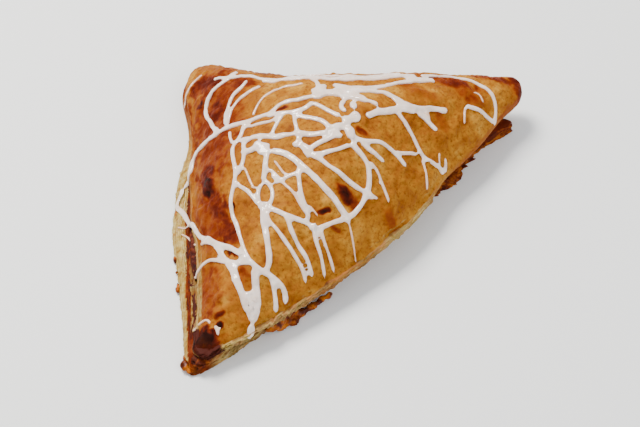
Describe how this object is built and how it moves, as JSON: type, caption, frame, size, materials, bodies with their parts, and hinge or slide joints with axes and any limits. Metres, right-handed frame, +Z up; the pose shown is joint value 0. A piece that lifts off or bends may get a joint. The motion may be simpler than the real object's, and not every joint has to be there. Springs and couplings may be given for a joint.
{
  "type": "turnover pastry",
  "caption": "Triangular puff pastry turnover with a fruit filling, folded along its back edge, open seams at the other two and thin icing strings over the top.",
  "frame": {"origin": "middle of the box around the object, on the flat underside it rests on", "axes": "+Z up, +Y towards the folded back edge, +X towards the lifted right corner"},
  "size_m": [0.1206, 0.1268, 0.0375],
  "materials": {
    "pastry": "satin",
    "filling": "gloss"
  },
  "bodies": {
    "root": {"pastry": "pastry", "filling": "filling"}
  },
  "joints": []
}
